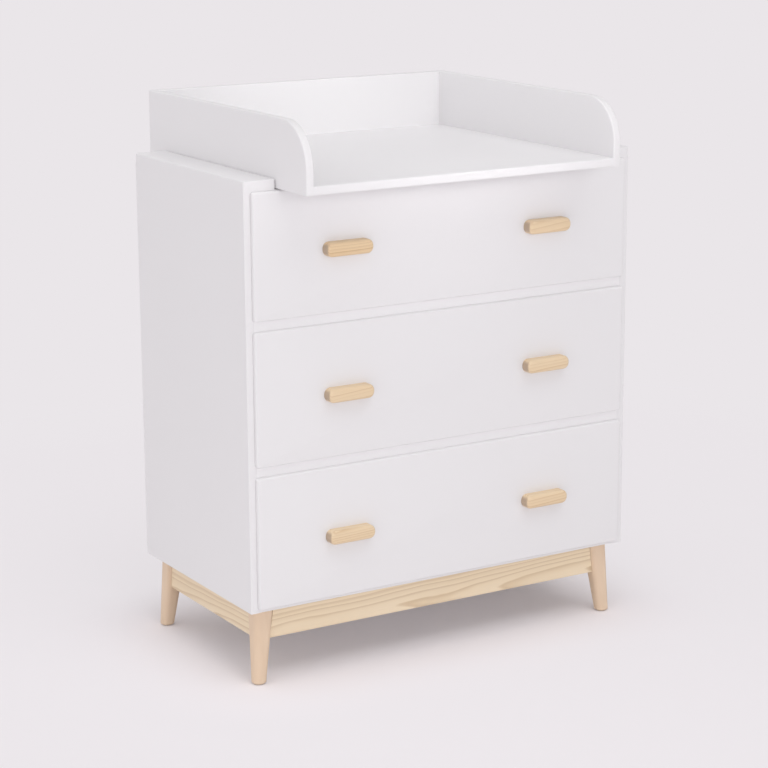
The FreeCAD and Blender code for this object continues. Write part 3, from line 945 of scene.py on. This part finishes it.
@dataclass
class Drawer:
    """A drawer's front, box, runners, handles and the screws that hold the handles."""

    palette: Palette
    level: str
    order: int
    screw: bpy.types.Object
    boards: tuple[str, ...] = ("side_left", "side_right", "back", "box_front")
    runners: tuple[str, ...] = ("runner_outer", "runner_middle", "runner_inner")
    corner: float = 5 * MM
    soft: float = 4 * MM
    steps: int = 6
    screw_spacing: float = 64 * MM

    @property
    def body(self) -> str:
        """Name of the body that slides."""
        return f"drawer_{self.level}"

    def build(self) -> None:
        """Model the front, the handles and their screws, and dress the other pieces."""
        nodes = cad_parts
        self.front()
        finishes = self.palette
        for names, finish in ((self.boards, finishes.melamine), (("base",), finishes.fibreboard),
                              (self.runners, finishes.runner)):
            look = finish.look()
            for name in names:
                look.give(nodes[f"{self.body}_{name}"])
        handle = Handle(self.palette)
        for index, side in enumerate(("left", "right")):
            node = f"{self.body}_handle_{side}"
            handle.build(node, self.body, 2 * self.order + index)
            self.screws(node)

    def front(self) -> None:
        """Model the front, with round corners and a soft edge all round."""
        node = f"{self.body}_front"
        low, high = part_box(node)
        piece = block(f"{node}_board", (low, high))
        round_edges(piece, self.corner, self.steps, along(Axis.DEEP))
        round_edges(piece, self.soft, self.steps, at(low.y, Axis.DEEP))
        stand_in(piece, node, self.body, self.palette.lacquer.look())

    def screws(self, handle: str) -> None:
        """Set two screw heads behind a handle, on the inner face of the box.

        Args:
            handle: Name of the handle's solid.
        """
        low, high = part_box(handle)
        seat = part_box(f"{self.body}_box_front")[1].y
        for number, side in enumerate((-1, 1), start=1):
            head = self.screw.copy()
            head.data = self.screw.data.copy()
            head.name = f"{handle}_screw_{number}"
            bpy.context.scene.collection.objects.link(head)
            head.location = (low + high) / 2 + Vector((side * self.screw_spacing / 2, 0.0, 0.0))
            head.location.y = seat
            settle(head)
            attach(head, self.body)
            report(head)


@dataclass
class Tray:
    """Changing tray: floor, two side walls with a round front corner, back wall, dowels and pads."""

    palette: Palette
    round_corner: float = 80 * MM
    soft: float = 3 * MM
    nose_top: float = 4 * MM
    nose_bottom: float = 1 * MM
    heel_size: float = 6 * MM
    round_steps: int = 32
    soft_steps: int = 5

    def build(self) -> None:
        """Model the tray's boards over their solids, and dress the pads and dowels."""
        lacquer = self.palette.lacquer.look()
        for side in ("left", "right"):
            self.wall(f"tray_wall_{side}", lacquer)
        self.back(lacquer)
        self.floor(lacquer)
        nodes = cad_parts
        self.palette.rubber.look().give(nodes["tray_pads"])
        low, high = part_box("tray_dowels")
        self.palette.plain_wood.look(Axis.ACROSS, (low + high) / 2, "dowels").give(nodes["tray_dowels"])

    def wall(self, node: str, look: Look) -> None:
        """Model a side wall, whose top front corner is a quarter round.

        Args:
            node: The wall's solid.
            look: Its look.
        """
        low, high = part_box(node)
        piece = block(f"{node}_board", (low, high))
        corner = both(at(low.y, Axis.DEEP), at(high.z, Axis.UPRIGHT))
        round_edges(piece, self.round_corner, self.round_steps, corner)
        faces = (at(low.x, Axis.ACROSS), at(high.x, Axis.ACROSS))
        rear, bottom = at(high.y, Axis.DEEP), at(low.z, Axis.UPRIGHT)

        def rim(first: Vector, second: Vector) -> bool:
            """Pick both faces' rims, apart from the edges on the floor's and the back's side."""
            on_face = any(test(first, second) for test in faces)
            return on_face and not rear(first, second) and not bottom(first, second)
        round_edges(piece, self.soft, self.soft_steps, rim)
        self.heel(piece, (low, high))
        stand_in(piece, node, "tray", look)

    def heel(self, piece: bpy.types.Object, span: Span) -> None:
        """Fill a wall's soft inner edge beside the floor, so that their front edges meet without a notch.

        Args:
            piece: The wall.
            span: Its lowest and highest corners.
        """
        low, high = span
        floor_low, floor_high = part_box("tray_floor")
        inner, inward = (high.x, -1.0) if abs(high.x - floor_low.x) < MM else (low.x, 1.0)
        outer = inner + inward * self.heel_size
        filler = block("heel", (Vector((min(inner, outer), low.y, floor_low.z)),
                                Vector((max(inner, outer), low.y + self.heel_size, floor_high.z))))
        self.nose(filler, low.y, floor_high.z, floor_low.z)
        carve_with(piece, filler, Carve.FILL)

    def nose(self, piece: bpy.types.Object, front: float, top: float, bottom: float) -> None:
        """Round a board's front edge, more above than below.

        Args:
            piece: The board.
            front: Level of its front face.
            top: Level of its top.
            bottom: Level of its underside.
        """
        face, across = at(front, Axis.DEEP), along(Axis.ACROSS)
        for level, radius in ((top, self.nose_top), (bottom, self.nose_bottom)):
            round_edges(piece, radius, self.soft_steps, both(both(face, across), at(level, Axis.UPRIGHT)))

    def back(self, look: Look) -> None:
        """Model the back wall, soft along its top and its rear corners.

        Args:
            look: Its look.
        """
        low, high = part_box("tray_wall_back")
        piece = block("tray_wall_back_board", (low, high))
        top, rear = at(high.z, Axis.UPRIGHT), both(at(high.y, Axis.DEEP), along(Axis.UPRIGHT))
        round_edges(piece, self.soft, self.soft_steps,
                    lambda first, second: top(first, second) or rear(first, second))
        stand_in(piece, "tray_wall_back", "tray", look)

    def floor(self, look: Look) -> None:
        """Model the floor, soft along its front edge.

        Args:
            look: Its look.
        """
        low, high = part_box("tray_floor")
        piece = block("tray_floor_board", (low, high))
        self.nose(piece, low.y, high.z, low.z)
        stand_in(piece, "tray_floor", "tray", look)


# ---------------------------------------------------------------- studio


class LampKind(Enum):
    """Blender's lamp types."""

    AREA = "AREA"
    SUN = "SUN"


@dataclass(frozen=True)
class Lamp:
    """A plain soft lamp.

    Size is an area lamp's side in metres or a sun's width in radians, and strength is in its own unit.
    """

    name: str
    kind: LampKind
    strength: float
    size: float
    place: Place
    aim: Place
    spread: float = math.pi

    def build(self) -> None:
        """Add the lamp, which the camera doesn't see."""
        light = bpy.data.lights.new(self.name, self.kind.value)
        light.energy = self.strength
        if self.kind is LampKind.SUN:
            light.angle = self.size
        else:
            light.size = self.size
            light.spread = self.spread
        holder = bpy.data.objects.new(self.name, light)
        holder.location = self.place
        holder.rotation_euler = (Vector(self.aim) - Vector(self.place)).to_track_quat("-Z", "Y").to_euler()
        holder.visible_camera = False
        bpy.context.scene.collection.objects.link(holder)


@dataclass
class Studio:
    """Pale floor, light from all round, soft lamps above and in front, and the camera.

    The floor is paint that takes a shadow and a glow of the backdrop's colour. The glow's share is
    the first of glows on the rectangle where the object stands, and the second at near_reach from
    it, and over far_reach it rises to all.
    """

    backdrop: Colour = (0.823, 0.791, 0.815)
    bounce: Colour = (0.92, 0.89, 0.91)
    floor_size: float = 160.0
    floor_light: float = 1.16
    stand_middle: Place = (0.0, 18 * MM, 0.0)
    stand_half: Place = (370 * MM, 180 * MM, 0.0)
    glows: tuple[float, float] = (0.08, 0.7)
    near_reach: float = 0.25
    far_reach: tuple[float, float] = (0.6, 1.6)
    ambient: float = 0.70
    sky_colour: Colour = (1.0, 0.985, 0.997)
    sky_slope: Place = (-0.328, -0.034, -0.121)  # growth of the sky's light along each axis
    lamps: tuple[Lamp, ...] = (
        Lamp("overhead", LampKind.SUN, 0.76, 0.79, (0.0, -0.386, 1.0), (0.0, 0.0, 0.0)),
        Lamp("front", LampKind.AREA, 8.6, 1.0, (-0.5, -2.6, 1.0), (0.0, -0.2, 0.8)),
        Lamp("tray", LampKind.AREA, 0.22, 0.3, (0.0, -1.5, 1.3), (0.0, 0.28, 0.97), 0.6),
    )
    focal_pixels: float = 2316.1
    frame_pixels: float = 768.0
    sensor: float = 36.0
    eye: Place = (-2.17698, -3.59257, 1.47571)
    yaw: float = 31.074
    pitch: float = 13.556
    roll: float = -0.314

    def build(self) -> None:
        """Make the floor, the light and the camera."""
        self.floor()
        self.world()
        for lamp in self.lamps:
            lamp.build()
        self.camera()
        bpy.context.scene.view_settings.view_transform = "Standard"

    def seen(self, sheet: Sheet) -> bpy.types.NodeSocket:
        """Tell rays that show the backdrop from those that only carry light.

        Args:
            sheet: The material's or world's sheet.

        Returns:
            1 for camera, glossy and transmission rays, and 0 for others.
        """
        path = sheet.node("ShaderNodeLightPath")
        direct = sheet.math("MAXIMUM", path.outputs["Is Camera Ray"], path.outputs["Is Glossy Ray"])
        return sheet.math("MAXIMUM", direct, path.outputs["Is Transmission Ray"])

    def floor(self) -> None:
        """Lay the floor. It shows the object's shadow, and further out only the backdrop's colour."""
        deselect()
        bpy.ops.mesh.primitive_plane_add(size=self.floor_size, location=(0.0, 0.0, 0.0))
        ground = bpy.context.active_object
        ground.name = "studio_floor"
        material, sheet, shader = start_material("floor paint")
        glow, seen = self.glow(sheet), self.seen(sheet)
        paint = tuple(channel * self.floor_light for channel in self.backdrop)
        lit = sheet.between(glow, paint, (0.0, 0.0, 0.0))
        sheet.feed(shader, {
            "Base Color": sheet.between(seen, self.bounce, lit),
            "Roughness": 1.0,
            "Specular IOR Level": 0.0,
            "Emission Color": (*self.backdrop, 1.0),
            "Emission Strength": sheet.math("MULTIPLY", seen, glow),
        })
        ground.data.materials.append(material)

    def glow(self, sheet: Sheet) -> bpy.types.NodeSocket:
        """Share of the floor's own glow: little under the object, and all of it further out.

        Args:
            sheet: The floor material's sheet.

        Returns:
            The share, from 0 to 1.
        """
        where = sheet.node("ShaderNodeTexCoord").outputs["Object"]
        mirrored = sheet.vector("ABSOLUTE", sheet.vector("SUBTRACT", where, self.stand_middle))
        outside = sheet.vector("SUBTRACT", mirrored, self.stand_half)
        away = sheet.vector("LENGTH", sheet.vector("MAXIMUM", outside, (0.0, 0.0, 0.0)), result="Value")
        return sheet.math("MAXIMUM", sheet.ramp(away, 0.0, self.near_reach, *self.glows),
                          sheet.ramp(away, *self.far_reach))

    def world(self) -> None:
        """Light from all round, most from the left and least from the right, and show the backdrop."""
        world = bpy.data.worlds.new("studio")
        bpy.context.scene.world = world
        world.use_nodes = True
        world.node_tree.nodes.clear()
        sheet = Sheet(world.node_tree)
        toward = sheet.node("ShaderNodeTexCoord").outputs["Generated"]
        slope = sheet.vector("DOT_PRODUCT", toward, self.sky_slope, result="Value")
        strength = sheet.math("MAXIMUM", sheet.math("ADD", slope, self.ambient), 0.0)
        light = sheet.node("ShaderNodeBackground", {"Color": (*self.sky_colour, 1.0), "Strength": strength})
        shown = sheet.node("ShaderNodeBackground", {"Color": (*self.backdrop, 1.0)})
        sources = (self.seen(sheet), light.outputs["Background"], shown.outputs["Background"])
        mix = sheet.node("ShaderNodeMixShader", dict(enumerate(sources)))
        sheet.node("ShaderNodeOutputWorld", {"Surface": mix.outputs["Shader"]})

    def camera(self) -> None:
        """Set the camera to the photograph's view."""
        lens = bpy.data.cameras.new("camera")
        lens.sensor_width = self.sensor
        lens.lens = self.focal_pixels * self.sensor / self.frame_pixels
        holder = bpy.data.objects.new("camera", lens)
        aim = Euler((QUARTER_TURN - math.radians(self.pitch), 0.0, -math.radians(self.yaw))).to_matrix()
        tilt = Matrix.Rotation(math.radians(self.roll), 3, "Z")
        holder.matrix_world = Matrix.Translation(self.eye) @ (aim @ tilt).to_4x4()
        bpy.context.scene.collection.objects.link(holder)
        bpy.context.scene.camera = holder


def main() -> None:
    """Build every sub-assembly in order."""
    logging.basicConfig(level=logging.INFO, format="%(message)s")
    palette = Palette()
    Studio().build()
    Carcass(palette).build()
    Base(palette).build()
    screw = Screw(palette).model()
    for order, level in enumerate(("bottom", "middle", "top")):
        Drawer(palette, level, order, screw).build()
    only(screw)
    bpy.ops.object.delete()
    Tray(palette).build()


if __name__ == "__main__":
    main()
